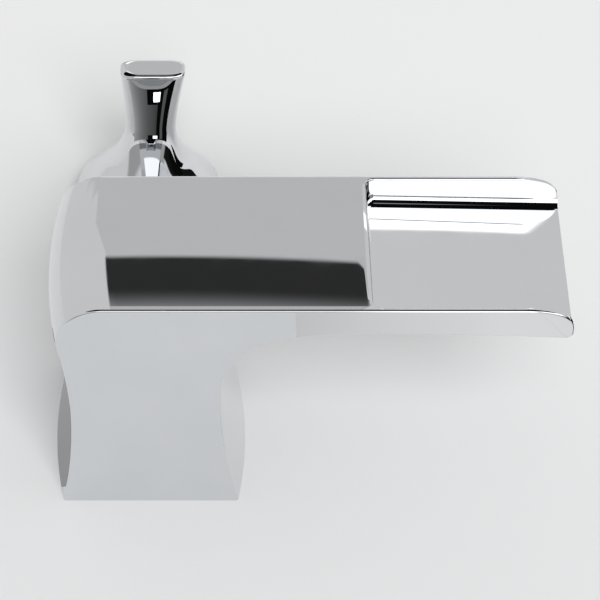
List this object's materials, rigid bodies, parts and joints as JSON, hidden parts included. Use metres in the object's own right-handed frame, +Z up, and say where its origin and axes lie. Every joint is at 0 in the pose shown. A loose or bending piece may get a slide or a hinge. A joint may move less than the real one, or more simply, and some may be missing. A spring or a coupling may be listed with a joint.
{
  "type": "basin mixer",
  "caption": "Deck basin mixer: a waisted chrome column bends into a flat waterfall spout with an open channel; a separate bell-shaped joystick control stands beside it.",
  "frame": {"origin": "where the spout's shank axis meets the deck, in the foot's underside", "axes": "+Z up, +X the way the water runs along the spout, +Y from the spout towards the control"},
  "size_m": [0.1604, 0.1613, 0.181],
  "materials": {
    "chrome": "polished plate on cast brass",
    "brass": "turned, unplated",
    "steel": "plain stainless",
    "rubber": "matt black",
    "plastic_white": "moulded, white",
    "plastic_grey": "moulded, grey",
    "ceramic": "lapped, white",
    "copper": "drawn copper tube"
  },
  "bodies": {
    "base": {"spout_body": "chrome", "escutcheon": "chrome", "spout_shank": "brass", "spout_lock_nut": "brass", "valve_body": "brass", "retaining_nut": "brass", "control_lock_nut": "brass", "crossover_union_nut": "brass", "crossover_fitting": "brass", "spout_clamp_washer": "steel", "control_clamp_washer": "steel", "spout_base_seal": "rubber", "shank_seal_ring": "rubber", "spout_rubber_washer": "rubber", "escutcheon_seal": "rubber", "port_seals": "rubber", "housing_seal_ring": "rubber", "control_rubber_washer": "rubber", "outlet_former": "plastic_white", "cartridge_base": "plastic_white", "cartridge_housing": "plastic_grey", "fixed_disc": "ceramic", "crossover_tube": "copper"},
    "rotor": {"rotor": "plastic_grey", "pivot_pin": "steel"},
    "handle": {"handle": "chrome", "stem": "steel", "handle_screw": "steel", "screw_plug": "chrome"},
    "carrier": {"disc_carrier": "plastic_white", "moving_disc": "ceramic"}
  },
  "joints": [
    {"name": "temperature_turn", "type": "hinge", "parent": "base", "child": "rotor", "pos_m": [0, 0.1066, 0], "axis": [0, 0, 1], "range_deg": [-45, 45]},
    {"name": "flow_tilt", "type": "hinge", "parent": "rotor", "child": "handle", "pos_m": [0, 0.1066, -0.00305], "axis": [-1, 0, 0], "range_deg": [0, 16]},
    {"name": "disc_slide", "type": "slide", "parent": "rotor", "child": "carrier", "axis": [0, -1, 0], "range_m": [0, 0.0031]}
  ],
  "couplings": [
    {"joint": "disc_slide", "follows": "flow_tilt", "m_per_rad": 0.011}
  ]
}
